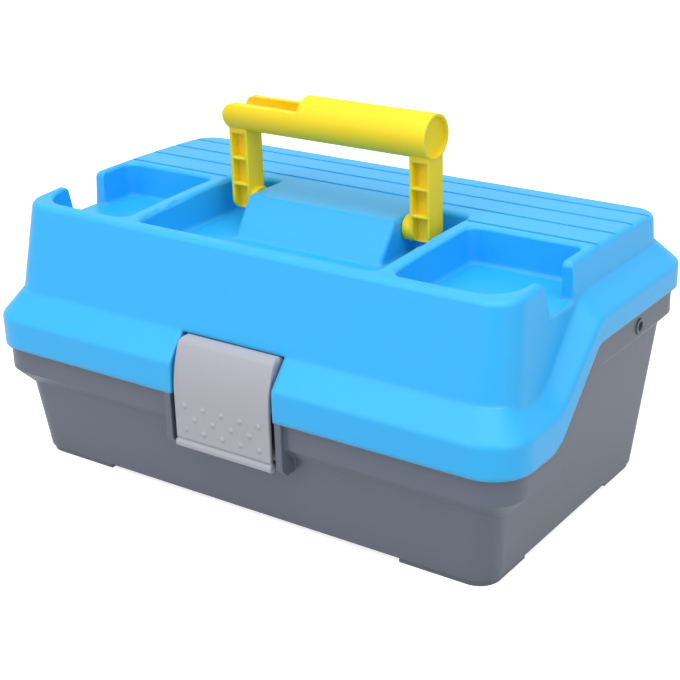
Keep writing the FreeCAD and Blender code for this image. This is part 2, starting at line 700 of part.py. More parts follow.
def base_rim(inset, lift):
    """The rim band with its sloped underside, drawn in by an inset and lifted."""
    run = s.rim_underside_run
    drop = s.rim_underside_drop
    stacks = []
    for parting in (s.parting_front, s.parting_rear):
        low = parting - s.rim_height + lift
        under = outline(inset + run, low - drop, s.lid_corner / 2)
        edge = outline(inset, low)
        stacks.append(frustum(under, edge).fuse(frustum(edge, outline(inset, tub_top))))
    in_front = cuboid(-far, far, -far, step_foot - s.step_run / 4, 0, far)
    behind = cuboid(-far, far, step_head + s.step_run / 2 + s.rim_underside_lag, far, 0, far)
    # The right-hand end's surface starts at the rim's foot and drifts back and down as it runs inwards.
    section = step_face(half_length - inset, s.parting_front + lift - s.rim_height, s.rim_height / 2 - lift,
                        True)
    reach = 2 * far
    skew = section.extrude(Vector(-reach, reach * s.rim_underside_lag / run, -reach * drop / run))
    skew = skew.common(mirrored(skew))
    room = frustum(outline(inset, s.foot_height), outline(inset, tub_top))
    window = cuboid(-far, far, step_foot - s.step_run / 2,
                    step_head + s.step_run + s.rim_underside_lag, 0, far)
    inner = cuboid(-half_length * RIM_WINDOW_SHARE, half_length * RIM_WINDOW_SHARE, -far, far, 0, far)
    infill = room.common(skew).common(window).cut(inner)
    return stacks[0].common(in_front).fuse(stacks[1].common(behind)).fuse(infill)


tub_outer = frustum(tub_section(s.foot_height, 0), tub_section(tub_top, 0))
tub_inner = frustum(tub_section(s.foot_height + s.wall, s.wall), tub_section(tub_top, s.wall))
rim_outer = base_rim(s.rim_inset, 0).removeSplitter()
rim_inner = base_rim(s.rim_inset + s.wall, s.wall)
ear_zone = cuboid(-s.ear_inner - s.ear_thickness, s.ear_inner + s.ear_thickness, -far, step_foot, 0, far)
rim_inner = rim_inner.cut(ear_zone)
ledge_foot = step_prism(-s.ledge_drop - s.ledge_height, above=True)
ledge = frustum(outline(s.ledge_inset, s.foot_height), outline(s.ledge_inset, tub_top)).common(
    ledge_foot).common(step_prism(-s.ledge_drop))
seat_ring = frustum(outline(s.seat_inset, s.foot_height), outline(s.seat_inset, tub_top)).common(ledge_foot)
below_parting = step_prism(0)
lip_zone = cuboid(-far, far, -far, half_width - s.lip_stop, 0, far)
lip_gap = s.notch_half_width + s.wall + s.lip_end_gap
lip_zone = lip_zone.cut(cuboid(-lip_gap, lip_gap, -far, step_foot, 0, far))
lip_ring = frustum(outline(s.rim_inset, s.foot_height), outline(s.rim_inset, tub_top)).common(lip_zone)
lip_ring = lip_ring.common(step_prism(0, above=True)).common(step_prism(s.lip_height))
base_outer = tub_outer.fuse(rim_outer).fuse(ledge).fuse(seat_ring).common(below_parting).fuse(lip_ring)

# The rim is open between the ears, where the latch hangs.
latch_gap = cuboid(-s.ear_inner, s.ear_inner, -far, step_foot, s.foot_height, far)
base_outer = base_outer.cut(latch_gap.cut(tub_outer.common(below_parting)))
for side in (-1, 1):
    x0, x1 = sorted((side * s.ear_inner, side * (s.ear_inner + s.ear_thickness)))
    ear = cuboid(x0, x1, -half_width, step_foot, s.ear_foot, s.parting_front)
    toe = [edge for edge in ear.Edges
           if edge.BoundBox.YMax < -half_width + s.wall and edge.BoundBox.ZMax < s.ear_foot + s.wall]
    base_outer = base_outer.fuse(ear.makeChamfer(s.ear_thickness, toe))
latch_lip_back = s.latch_front - s.latch_lip_depth
catch_front = -latch_lip_back + s.catch_gap
catch = cuboid(-s.catch_half_width, s.catch_half_width, catch_front, step_foot, s.catch_top - s.catch_height,
               s.catch_top)
base_outer = base_outer.fuse(catch)
base_shell = base_outer.cut(tub_inner.fuse(rim_inner))


# Four corner feet under the tub.
sole = Part.Face(rounded_rectangle(*tub_section(s.foot_height, s.foot_edge)[:4], 0)).extrude(
    Vector(0, 0, s.foot_height))
corners = cuboid(half_length - s.foot_end_reach, half_length, half_width - s.foot_side_reach, half_width,
                 0, s.foot_height)
corners = pair(corners.fuse(corners.mirror(Vector(), Vector(0, 1, 0))))
feet = sole.common(corners)
base_shell = base_shell.fuse(feet)

# Bosses inside the end walls for the tray arms' hollow rivets.
arm_inner = s.tray_half_length + s.tray_rim + s.arm_from_tray
arm_outer = arm_inner + s.arm_thickness
boss_start = arm_outer + s.side_gap
rim_face = half_length - s.rim_inset
arm_boss = Part.makeCylinder(s.arm_boss_diameter / 2, rim_face - s.wall / 2 - boss_start,
                             Vector(boss_start, s.arm_pivot_back, s.arm_pivot_height), Vector(1, 0, 0))
arm_bore = Part.makeCylinder(s.rivet_diameter / 2, far, Vector(s.tray_half_length, s.arm_pivot_back,
                                                              s.arm_pivot_height), Vector(1, 0, 0))
arm_boss = arm_boss.common(below_parting)
base_shell = base_shell.fuse(pair(arm_boss)).cut(pair(arm_bore))

base_knuckles = knuckle(*knuckle_span(0), True).fuse(knuckle(*knuckle_span(2), True))
base_shell = base_shell.fuse(pair(base_knuckles)).cut(hinge_bore).removeSplitter()
base = feature("base", base_shell)

# Handle: tubular grip, two channelled legs, discs and trunnions.

grip_y = "handle_pivot_back"
grip_z = "handle_pivot_height + handle_reach"
grip_bar = rod("grip_bar", "grip_diameter / 2", "-grip_left", "grip_half_length", grip_y, grip_z)
grip_bore = rod("grip_bore", "grip_diameter / 2 - grip_wall", "-grip_left - overrun",
                "grip_half_length - grip_recess_depth - grip_web", grip_y, grip_z)
grip_recess = rod("grip_recess", "grip_diameter / 2 - grip_recess_rim",
                  "grip_half_length - grip_recess_depth", "grip_half_length + overrun", grip_y, grip_z)
grip_top = block("grip_top", "-grip_left - overrun", "-grip_cut_end",
                 "handle_pivot_back - grip_diameter", "handle_pivot_back + grip_diameter",
                 "handle_pivot_height + handle_reach + grip_cut_above_middle",
                 "handle_pivot_height + handle_reach + grip_diameter")
corner_x = "grip_end_radius - grip_left"
corner_z = "handle_pivot_height + handle_reach + grip_cut_above_middle - grip_end_radius"
corner_block = block("grip_corner_block", "-grip_left - overrun", corner_x,
                     "handle_pivot_back - grip_diameter", "handle_pivot_back + grip_diameter",
                     corner_z, "handle_pivot_height + handle_reach + grip_diameter")
corner_rod = document.addObject("Part::Cylinder", "grip_corner_rod")
corner_rod.Placement = Placement(Vector(), Rotation(Vector(1, 0, 0), -90))
bind(corner_rod, Radius="grip_end_radius", Height="2 * grip_diameter + 2 * overrun",
     Placement__Base__x=corner_x, Placement__Base__y="handle_pivot_back - grip_diameter - overrun",
     Placement__Base__z=corner_z)
grip_corner = cut("grip_corner", corner_block, corner_rod)
leg_solids = []
leg_cuts = []
front = "handle_pivot_back - leg_depth / 2"
back = "handle_pivot_back + leg_depth / 2"
cell_height = (f"((handle_reach - grip_diameter / 2 + leg_depth / 2 - 2 * leg_end_bar"
               f" - {LEG_CELLS - 1} * leg_rib) / {LEG_CELLS})")
for side, word in ((1, "right"), (-1, "left")):
    near, past = "leg_inner", "leg_inner + leg_width"
    disc_face = "block_half_width + handle_disc_gap"
    tail = "block_half_width - wall - trunnion_tail"
    if side > 0:
        x0, x1 = f"leg_shift + {near}", f"leg_shift + {past}"
        d0, d1 = disc_face, x0
        t0, t1 = tail, x0
    else:
        x0, x1 = f"leg_shift - ({past})", f"leg_shift - {near}"
        d0, d1 = x1, f"-({disc_face})"
        t0, t1 = x1, f"-({tail})"
    leg_solids.append(block(f"leg_{word}", x0, x1, front, back, "handle_pivot_height", grip_z))
    leg_solids.append(rod(f"leg_end_{word}", "leg_depth / 2", x0, x1, grip_y, "handle_pivot_height"))
    leg_solids.append(rod(f"disc_{word}", "handle_disc_radius", d0, d1, grip_y, "handle_pivot_height"))
    leg_solids.append(rod(f"trunnion_{word}", "trunnion_diameter / 2", t0, t1, grip_y,
                          "handle_pivot_height"))
    for cell in range(LEG_CELLS):
        start = f"handle_pivot_height - leg_depth / 2 + leg_end_bar + {cell} * ({cell_height} + leg_rib)"
        leg_cuts.append(block(f"leg_cell_{word}_{cell}", f"({x0}) + leg_wall", f"({x1}) - leg_wall",
                              f"{front} - overrun", f"{front} + leg_channel_depth",
                              start, f"{start} + {cell_height}"))
handle_solid = fuse("handle_solid", [grip_bar] + leg_solids)
handle_cuts = fuse("handle_cuts", [grip_bore, grip_recess, grip_top, grip_corner] + leg_cuts)
handle = cut("handle", handle_solid, handle_cuts)

# Latch: bowed plate, rolled head, side flanges, lip and bumps.

axis = Vector(0, -s.latch_axis_front, s.latch_axis_height)
bow_reach = s.latch_front - s.latch_axis_front
bow_rise = s.latch_axis_height - s.latch_bow_height
bow_span = bow_reach ** 2 + bow_rise ** 2 - s.latch_head_radius ** 2
bow_radius = bow_span / (2 * (bow_reach - s.latch_head_radius))
bow_centre = Vector(0, bow_radius - s.latch_front, s.latch_bow_height)
towards_head = (axis - bow_centre).normalize()
half_way = (towards_head + Vector(0, -1, 0)).normalize()


def plate_profile(offset):
    """The plate's line at a depth: an arc that leaves the round head smoothly, and a straight to the lip."""
    radius = bow_radius - offset
    bow = Vector(0, offset - s.latch_front, s.latch_bow_height)
    foot = Vector(0, bow.y, s.latch_foot_height)
    return bow_centre + towards_head * radius, bow_centre + half_way * radius, bow, foot


head_out, bend_out, bow_out, foot_out = plate_profile(0)
head_in, bend_in, bow_in, foot_in = plate_profile(s.latch_thickness)
plate_wire = Part.Wire([Part.Arc(head_out, bend_out, bow_out).toShape(), Part.makeLine(bow_out, foot_out),
                        Part.makeLine(foot_out, foot_in), Part.makeLine(foot_in, bow_in),
                        Part.Arc(bow_in, bend_in, head_in).toShape(), Part.makeLine(head_in, head_out)])


def spread(face, half):
    """A section pushed out to both sides of the middle."""
    moved = face.copy()
    moved.translate(Vector(-half, 0, 0))
    return moved.extrude(Vector(2 * half, 0, 0))


plate = spread(Part.Face(plate_wire), s.latch_half_width)
head_inner = s.latch_head_radius - s.latch_thickness
roll = Part.makeCylinder(s.latch_head_radius, 2 * s.latch_half_width, axis - Vector(s.latch_half_width, 0, 0),
                         Vector(1, 0, 0))
hollow = Part.makeCylinder(s.lug_radius + s.lug_gap, 2 * s.latch_half_width,
                           axis - Vector(s.latch_half_width, 0, 0), Vector(1, 0, 0))
under_roll = cuboid(-s.latch_half_width, s.latch_half_width, axis.y - head_inner,
                    axis.y + s.latch_head_radius, axis.z - s.latch_head_radius, axis.z)
roll = roll.cut(under_roll)
for side in (-1, 1):
    x = side * s.lug_middle - s.lug_width / 2 - s.lug_gap
    slot = cuboid(x, x + s.lug_width + 2 * s.lug_gap, axis.y + s.latch_head_radius * HEAD_SLOT_SHARE,
                  axis.y + 2 * s.latch_head_radius,
                  axis.z - 2 * s.latch_head_radius, axis.z + 2 * s.latch_head_radius)
    roll = roll.cut(slot)
heel_back, heel_down = FLANGE_HEEL_SHARES
flange_foot = Vector(0, s.latch_thickness - s.latch_front, s.latch_flange_foot)
flange_start = flange_foot - Vector(0, s.latch_thickness / 2, 0)
flange_heel = axis + Vector(0, s.latch_head_radius * heel_back, -s.latch_head_radius * heel_down)
flange_points = [flange_start, Vector(0, axis.y - head_inner, axis.z), flange_heel, flange_foot, flange_start]
flange_disc = Part.makeCylinder(s.latch_head_radius, s.latch_flange, axis, Vector(1, 0, 0))
flange = Part.Face(Part.makePolygon(flange_points)).extrude(Vector(s.latch_flange, 0, 0)).fuse(flange_disc)
flange.translate(Vector(s.latch_half_width - s.latch_flange, 0, 0))
lip_half = s.latch_half_width + s.latch_lip_overhang
lip_middle = Vector(-lip_half, s.latch_lip_radius - s.latch_front - s.latch_bump_height, s.latch_foot_height)
lip_roll = Part.makeCylinder(s.latch_lip_radius, 2 * lip_half, lip_middle, Vector(1, 0, 0))
lip_tongue = cuboid(-s.latch_half_width, s.latch_half_width, -s.latch_front + s.latch_lip_radius,
                    s.latch_lip_depth - s.latch_front, s.latch_foot_height - s.latch_lip_radius / 2,
                    s.latch_foot_height + s.latch_lip_radius / 2)
latch_shape = plate.fuse(roll).cut(hollow).fuse(pair(flange)).fuse(lip_roll).fuse(lip_tongue)
groove_bottom = s.latch_foot_height + s.latch_lip_radius
finger_groove = cuboid(-s.latch_half_width, s.latch_half_width, -s.latch_front - s.overrun,
                       -s.latch_front + s.latch_groove / 2, groove_bottom, groove_bottom + s.latch_groove)
latch_shape = latch_shape.cut(finger_groove)
for row, count in enumerate(LATCH_BUMP_COUNTS):
    for place in range(count):
        x = (place - (count - 1) / 2) * s.latch_bump_pitch
        z = s.latch_bump_top - row * s.latch_bump_row
        ball_radius = (s.latch_bump_diameter ** 2 / 4 + s.latch_bump_height ** 2) / (2 * s.latch_bump_height)
        ball = Part.makeSphere(ball_radius, Vector(x, ball_radius - s.latch_bump_height - s.latch_front, z))
        skin = cuboid(-far, far, -far, s.latch_thickness / 2 - s.latch_front, 0, far)
        latch_shape = latch_shape.fuse(ball.common(skin))
corner_x = s.latch_half_width - s.latch_corner
corner_z = axis.z + s.latch_head_radius - s.latch_corner
corner_waste = cuboid(corner_x, far, -far, 0, corner_z, far).cut(
    Part.makeCylinder(s.latch_corner, far, Vector(corner_x, -far, corner_z), Vector(0, 1, 0)))
latch_shape = latch_shape.cut(pair(corner_waste))
# The pin goes in from the left, and the right flange covers its end.
latch_bore = Part.makeCylinder(s.latch_pin_diameter / 2 + s.pivot_clearance / 2,
                               far + s.latch_half_width - s.latch_pin_cover, axis - Vector(far, 0, 0),
                               Vector(1, 0, 0))
latch = feature("latch", latch_shape.cut(latch_bore).removeSplitter())

latch_pin = rod("latch_pin", "latch_pin_diameter / 2", "-latch_half_width",
                "latch_half_width - latch_pin_cover - pivot_clearance", "-latch_axis_front",
                "latch_axis_height")

# Hinge pins with one head each, through three knuckles a side.

for side, word in ((1, "right"), (-1, "left")):
    length = "(3 * knuckle_length + 2 * knuckle_gap)"
    y, z = "lid_width / 2 + hinge_behind_lid", "parting_rear"
    a, b = ("knuckle_inner", f"knuckle_inner + {length}") if side > 0 else (
        f"-knuckle_inner - {length}", "-knuckle_inner")
    shank = rod(f"hinge_shank_{word}", "hinge_pin_diameter / 2", a, b, y, z)
    h0, h1 = (b, f"{b} + pin_head_height") if side > 0 else (f"{a} - pin_head_height", a)
    head = rod(f"hinge_head_{word}", "pin_head_radius", h0, h1, y, z)
    fuse(f"hinge_pin_{word}", [shank, head])

# Tray, three rows of cells, with guides for the loose dividers.

tray_depth = s.tray_front + s.tray_back
tray_shell = frustum((s.tray_half_length, -s.tray_front, s.tray_back, s.tray_corner, s.tray_floor),
                     (s.tray_half_length, -s.tray_front, s.tray_back, s.tray_corner, s.tray_top))
tray_rim = frustum((s.tray_half_length + s.tray_rim, -s.tray_front - s.tray_rim, s.tray_back + s.tray_rim,
                    s.tray_corner + s.tray_rim, s.tray_top - s.tray_rim_height),
                   (s.tray_half_length + s.tray_rim, -s.tray_front - s.tray_rim, s.tray_back + s.tray_rim,
                    s.tray_corner + s.tray_rim, s.tray_top))
tray_shell = tray_shell.fuse(tray_rim)
rows = []
row_start = -s.tray_front + s.tray_wall
clear_depth = tray_depth - (len(TRAY_ROW_SHARES) + 1) * s.tray_wall
for share in TRAY_ROW_SHARES:
    row_end = row_start + clear_depth * share
    rows.append((row_start, row_end))
    row_start = row_end + s.tray_wall
row_corner = s.tray_corner - s.tray_wall
for number, (y0, y1) in enumerate(rows):
    for side in (-1, 1):
        x0, x1 = sorted((side * s.tray_wall / 2, side * (s.tray_half_length - s.tray_wall)))
        wire = rounded_rectangle((x1 - x0) / 2, y0, y1, row_corner / 2, s.tray_floor + s.tray_wall)
        wire.translate(Vector((x0 + x1) / 2, 0, 0))
        cell = Part.Face(wire).extrude(Vector(0, 0, s.tray_top - s.tray_floor))
        tray_shell = tray_shell.cut(cell)

divider_shapes = []
cell_length = s.tray_half_length - s.tray_wall - s.tray_wall / 2
guide_offset = s.plate_thickness / 2 + s.plate_clearance
for number, (y0, y1) in enumerate(rows):
    for side in (-1, 1):
        x = side * (s.tray_wall / 2 + cell_length * DIVIDER_PLACE_SHARES[number])
        floor = s.tray_floor + s.tray_wall
        for edge, inward in ((y0, 1), (y1, -1)):
            for way in (-1, 1):
                start = x + way * guide_offset
                gx0, gx1 = sorted((start, start + way * s.guide_width))
                gy0, gy1 = sorted((edge - inward * s.tray_wall / 4, edge + inward * s.guide_depth))
                guide = cuboid(gx0, gx1, gy0, gy1, floor - s.tray_wall / 4, s.tray_top - s.plate_below_top)
                tray_shell = tray_shell.fuse(guide)
        plate_box = cuboid(x - s.plate_thickness / 2, x + s.plate_thickness / 2, y0 + s.plate_clearance,
                           y1 - s.plate_clearance, floor, s.tray_top - s.plate_below_top)
        divider_shapes.append((number, side, plate_box))

front_pin_y = s.arm_pivot_back - s.arm_run
front_pin_z = s.arm_pivot_height + s.arm_rise
for y, z, extra in ((front_pin_y, front_pin_z, 0), (rear_pin_y, rear_pin_z, s.lid_pin_clearance)):
    bore = Part.makeCylinder(s.tray_pin_diameter / 2 + extra, 2 * far, Vector(-far, y, z), Vector(1, 0, 0))
    end_walls = pair(cuboid(s.tray_half_length - s.tray_wall - s.overrun, far, -far, far, 0, far))
    tray_shell = tray_shell.cut(bore.common(end_walls))
tray = feature("tray", tray_shell.removeSplitter())
dividers = []
for number, side, shape in divider_shapes:
    name = ("front", "middle", "rear")[number] + ("_left" if side < 0 else "_right")
    dividers.append(feature(f"tray_divider_{name}", shape))

# Arms, rivets and pins, the same at both ends.

for side, word in ((1, "right"), (-1, "left")):
    x0, x1 = sorted((side * arm_inner, side * arm_outer))
    a = Vector(x0, s.arm_pivot_back, s.arm_pivot_height)
    b = Vector(x0, front_pin_y, front_pin_z)
    along = (b - a).normalize()
    across = Vector(0, -along.z, along.y) * s.arm_radius
    mids = (a - along * s.arm_radius, b + along * s.arm_radius)
    arm_wire = Part.Wire([Part.makeLine(a + across, b + across),
                          Part.Arc(b + across, mids[1], b - across).toShape(),
                          Part.makeLine(b - across, a - across),
                          Part.Arc(a - across, mids[0], a + across).toShape()])
    arm_shape = Part.Face(arm_wire).extrude(Vector(s.arm_thickness, 0, 0))
    pivot_bore = Part.makeCylinder(s.rivet_diameter / 2 + s.pivot_clearance / 2, s.arm_thickness, a,
                                   Vector(1, 0, 0))
    pin_bore = Part.makeCylinder(s.tray_pin_diameter / 2 + s.pivot_clearance / 2, s.arm_thickness, b,
                                 Vector(1, 0, 0))
    feature(f"tray_arm_{word}", arm_shape.cut(pivot_bore).cut(pin_bore))

for side, word in ((1, "right"), (-1, "left")):
    def span(low, high):
        return (low, high) if side > 0 else (f"-({high})", f"-({low})")

    arm_in = "(tray_half_length + tray_rim + arm_from_tray)"
    outside = "(lid_length / 2 - rim_inset)"
    y, z = "arm_pivot_back", "arm_pivot_height"
    tube = rod(f"rivet_tube_{word}", "rivet_diameter / 2",
               *span(f"{arm_in} - side_gap - rivet_flange", f"{outside} + rivet_flange"), y, z)
    outer_flange = rod(f"rivet_outer_{word}", "rivet_flange_diameter / 2",
                       *span(outside, f"{outside} + rivet_flange"), y, z)
    inner_flange = rod(f"rivet_inner_{word}", "rivet_flange_diameter / 2",
                       *span(f"{arm_in} - side_gap - rivet_flange", f"{arm_in} - side_gap"), y, z)
    hole = rod(f"rivet_hole_{word}", "rivet_bore / 2",
               *span(f"{arm_in} - overrun", f"{outside} + overrun"), y, z)
    cut(f"arm_rivet_{word}", fuse(f"rivet_solid_{word}", [tube, outer_flange, inner_flange]), hole)

    y, z = "arm_pivot_back - arm_run", "arm_pivot_height + arm_rise"
    arm_out = f"({arm_in} + arm_thickness)"
    shank = rod(f"tray_pin_shank_{word}", "tray_pin_diameter / 2",
                *span("tray_half_length - tray_wall", arm_out + " + side_gap"), y, z)
    head = rod(f"tray_pin_head_{word}", "tray_pin_head / 2",
               *span(arm_out + " + side_gap", arm_out + " + side_gap + tray_pin_head_height"), y, z)
    tail = rod(f"tray_pin_tail_{word}", "tray_pin_head / 2",
               *span("tray_half_length - tray_wall - tray_pin_head_height", "tray_half_length - tray_wall"),
               y, z)
    fuse(f"tray_front_pin_{word}", [shank, head, tail])

    y = "lid_width / 2 + hinge_behind_lid - arm_run"
    z = "parting_rear + arm_rise"
    shank = rod(f"lid_pin_shank_{word}", "tray_pin_diameter / 2",
                *span("tray_half_length - tray_wall - side_gap", "lid_length / 2 - wall"), y, z)
    tail = rod(f"lid_pin_tail_{word}", "tray_pin_head / 2",
               *span("tray_half_length - tray_wall - side_gap - tray_pin_head_height",
                     "tray_half_length - tray_wall - side_gap"), y, z)
    fuse(f"tray_rear_pin_{word}", [shank, tail])

document.recompute()

# Every sub-part: its file name is its label.

NODES = ["base", "lid", "handle", "latch", "latch_pin", "hinge_pin_right", "hinge_pin_left", "tray",
         "tray_arm_right", "tray_arm_left", "arm_rivet_right", "arm_rivet_left", "tray_front_pin_right",
         "tray_front_pin_left", "tray_rear_pin_right", "tray_rear_pin_left"]
NODES += [item.Label for item in dividers]

# The middle of the whole box lies at Y = 0.
front_face = -s.latch_front - s.latch_bump_height
rear_face = hinge_y + s.knuckle_radius
shift = Vector(0, -(front_face + rear_face) / 2, 0)

for item in document.Objects:
    if "Invalid" in item.State or "Error" in item.State:
        raise RuntimeError(f"{item.Label} failed: {item.State}")

os.makedirs("parts", exist_ok=True)
for name in NODES:
    item = document.getObject(name)
    item.Label = name
    shape = item.Shape.copy()
    shape.translate(shift)
    if shape.isNull() or not shape.isValid():
        raise RuntimeError(f"{name} has no valid shape")
    box = shape.BoundBox
    print(f"{name:26s} solids {len(shape.Solids)} volume {shape.Volume:10.1f} x {box.XMin:7.1f} {box.XMax:7.1f}"
          f" y {box.YMin:7.1f} {box.YMax:7.1f} z {box.ZMin:6.1f} {box.ZMax:6.1f}")
    shape.exportStep(f"parts/{name}.step")
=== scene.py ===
# %% [markdown]
# # A plastic tackle box
#
# The box is four injection mouldings: a blue lid, a grey base, a yellow handle and a light grey latch. Inside
# is a tray that the lid lifts on two arms. The solids come from the CAD model and already have the right shape
# and place, so this lesson is about the camera, the plastics and the light.

# %% Load the CAD frame
import json
import math
import bpy
from mathutils import Matrix, Vector

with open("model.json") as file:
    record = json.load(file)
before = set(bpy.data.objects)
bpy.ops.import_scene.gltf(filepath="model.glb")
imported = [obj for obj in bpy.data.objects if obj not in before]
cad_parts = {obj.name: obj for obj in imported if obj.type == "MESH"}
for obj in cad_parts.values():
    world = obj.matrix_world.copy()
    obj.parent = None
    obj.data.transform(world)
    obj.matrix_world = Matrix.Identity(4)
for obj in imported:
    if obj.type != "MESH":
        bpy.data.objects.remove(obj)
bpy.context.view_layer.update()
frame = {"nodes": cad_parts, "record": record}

MM = 0.001

# %% [markdown]
# ## The camera
#
# The photograph was taken from the front right, a little above the box, with a long lens. The numbers below are
# the pinhole camera whose edges fall on the edges of the photograph. A camera looks along its own -Z, so its
# three axes are the columns of its matrix: right, up, and back towards the viewer.

# %% Place the camera
CAMERA_PLACE = Vector((459.14, -637.21, 395.37)) * MM
YAW, PITCH, ROLL = math.radians(35.562), math.radians(22.653), math.radians(-1.706)
LENS, SENSOR = 82.29, 36.0
NEAREST, FARTHEST = 0.01, 50.0


def camera_axes(yaw, pitch, roll):
    """Right, up and back vectors of a camera turned round the box, raised and rolled."""
    back = Vector((math.sin(yaw) * math.cos(pitch), -math.cos(yaw) * math.cos(pitch), math.sin(pitch)))
    right = (-back).cross(Vector((0, 0, 1))).normalized()
    up = right.cross(-back)
    c, s = math.cos(roll), math.sin(roll)
    return c * right + s * up, -s * right + c * up, back


camera_data = bpy.data.cameras.new("photo_camera")
camera_data.lens, camera_data.sensor_width = LENS, SENSOR
camera_data.clip_start, camera_data.clip_end = NEAREST, FARTHEST
camera = bpy.data.objects.new("photo_camera", camera_data)
bpy.context.scene.collection.objects.link(camera)
camera.matrix_world = Matrix(camera_axes(YAW, PITCH, ROLL)).transposed().to_4x4()
camera.location = CAMERA_PLACE
bpy.context.scene.camera = camera
bpy.context.scene.view_settings.view_transform = "Standard"
print("camera at", [round(v, 3) for v in camera.location])

# %% [markdown]
# ## Node and colour helpers
#
# Colours are written as the hex values that a designer picks on a screen. Shaders work in linear light, so one
# function converts them. Another adds a shader node, sets its inputs and links what feeds it.


# %% Helpers for materials
def linear(hex_colour):
    """A screen colour such as "#3fb8fb" as linear red, green, blue and alpha."""
    channels = [int(hex_colour[i:i + 2], 16) / 255 for i in (1, 3, 5)]
    return [c / 12.92 if c <= 0.04045 else ((c + 0.055) / 1.055) ** 2.4 for c in channels] + [1.0]


def add_node(owner, kind, settings=None, inputs=None):
    """A node of some kind. An input is a plain value, or a socket of another node, which is linked."""
    tree = owner.node_tree
    node = tree.nodes.new(kind)
    for name, value in (settings or {}).items():
        setattr(node, name, value)
    for name, value in (inputs or {}).items():
        if isinstance(value, bpy.types.NodeSocket):
            tree.links.new(value, node.inputs[name])
        else:
            node.inputs[name].default_value = value
    return node


def new_material(name):
    """An empty node material."""
    material = bpy.data.materials.new(name)
    material.use_nodes = True
    material.node_tree.nodes.clear()
    return material


# %% [markdown]
# ## Moulded polypropylene
#
# The box is polypropylene (PP), coloured right through and moulded in a lightly spark-eroded tool. Such a
# surface is satin: soft broad highlights, a very fine even grain and faint flow marks where the colour is a
# touch deeper. Rounded edges and creases carry a painted highlight: their colour is mixed towards a paler one.
# The blue and yellow walls also glow a little, which is subsurface scattering over a few millimetres. The grain
# is about 0.5 mm, drawn at 0.9 mm so that it still shows at this distance.
#
# The Bevel node rounds the shading at edges. The lid's broad creases need a bigger radius than its narrow deck
# grooves, so the lid's radius falls with the height.

# %% The plastic's recipe
GRAIN = 0.9 * MM
GRAIN_HEIGHT = 0.012 * MM
FLOW = 70 * MM
EDGE = 1.4 * MM
GLOW_DEPTH = 4 * MM
PP_IOR = 1.49
NOISE_SPAN = (0.3, 0.7)  # most of a noise's values lie between these
FLOW_SHARE = 0.07  # how far the flow marks reach towards the deeper colour
DEEP_SHARE = 0.75  # the deeper colour's share of the plain one
EDGE_HIGHLIGHT_TURNS = (0.98, 0.75)  # cosines of the bevel's turn: the painted edge highlight starts, and is strongest
EDGE_HIGHLIGHT_SHARE = 0.45  # how far the painted highlight takes an edge towards its paler colour
GLOSS_SPREAD = 0.03


def map_value(material, value, span, low, high):
    """A value that lies in a span, mapped to a range."""
    return add_node(material, "ShaderNodeMapRange", inputs={
        "Value": value, "From Min": span[0], "From Max": span[1],
        "To Min": low, "To Max": high}).outputs["Result"]


def blend_colours(material, share, first, second):
    """A mix of two colours."""
    return add_node(material, "ShaderNodeMix", {"data_type": "RGBA"}, {
        "Factor": share, "A": first, "B": second}).outputs["Result"]


def moulded_plastic(name, colour, highlight_colour, roughness, glow=0.0, glow_colour=(1.0, 1.0, 1.0), falling=None):
    """Satin moulded plastic. Its edge radius is the usual one, or falls between two heights."""
    material = new_material(name)
    place = add_node(material, "ShaderNodeTexCoord").outputs["Object"]
    flow = add_node(material, "ShaderNodeTexNoise", inputs={
        "Vector": place, "Scale": 1 / FLOW, "Detail": 3.0, "Roughness": 0.5}).outputs["Fac"]
    grain = add_node(material, "ShaderNodeTexNoise", inputs={
        "Vector": place, "Scale": 1 / GRAIN, "Detail": 2.0, "Roughness": 0.6}).outputs["Fac"]
    radius = EDGE
    if falling:
        height = add_node(material, "ShaderNodeSeparateXYZ", inputs={"Vector": place}).outputs["Z"]
        radius = map_value(material, height, *falling)
    rounded = add_node(material, "ShaderNodeBevel", {"samples": 6}, {"Radius": radius}).outputs["Normal"]
    flat = add_node(material, "ShaderNodeNewGeometry").outputs["True Normal"]
    turn = add_node(material, "ShaderNodeVectorMath", {"operation": "DOT_PRODUCT"}, {0: rounded, 1: flat})
    deep = [c * DEEP_SHARE for c in linear(colour)[:3]] + [1.0]
    shade = map_value(material, flow, NOISE_SPAN, 0.0, FLOW_SHARE)
    # Painted highlight: where the bevelled normal turns away from the true one, at edges and creases, the
    # colour is mixed towards the paler highlight colour.
    edge = map_value(material, turn.outputs["Value"], EDGE_HIGHLIGHT_TURNS, 0.0, EDGE_HIGHLIGHT_SHARE)
    body = blend_colours(material, shade, linear(colour), deep)
    gloss = map_value(material, grain, NOISE_SPAN, roughness - GLOSS_SPREAD, roughness + GLOSS_SPREAD)
    bump = add_node(material, "ShaderNodeBump", inputs={
        "Height": grain, "Distance": GRAIN_HEIGHT, "Strength": 1.0, "Normal": rounded})
    shader = add_node(material, "ShaderNodeBsdfPrincipled", inputs={
        "Base Color": blend_colours(material, edge, body, linear(highlight_colour)), "Roughness": gloss,
        "Normal": bump.outputs["Normal"], "IOR": PP_IOR, "Subsurface Weight": glow,
        "Subsurface Radius": glow_colour, "Subsurface Scale": GLOW_DEPTH})
    add_node(material, "ShaderNodeOutputMaterial", inputs={"Surface": shader.outputs["BSDF"]})
    return material


LID_RADII = ((130 * MM, 138 * MM), 3.6 * MM, 0.6 * MM)
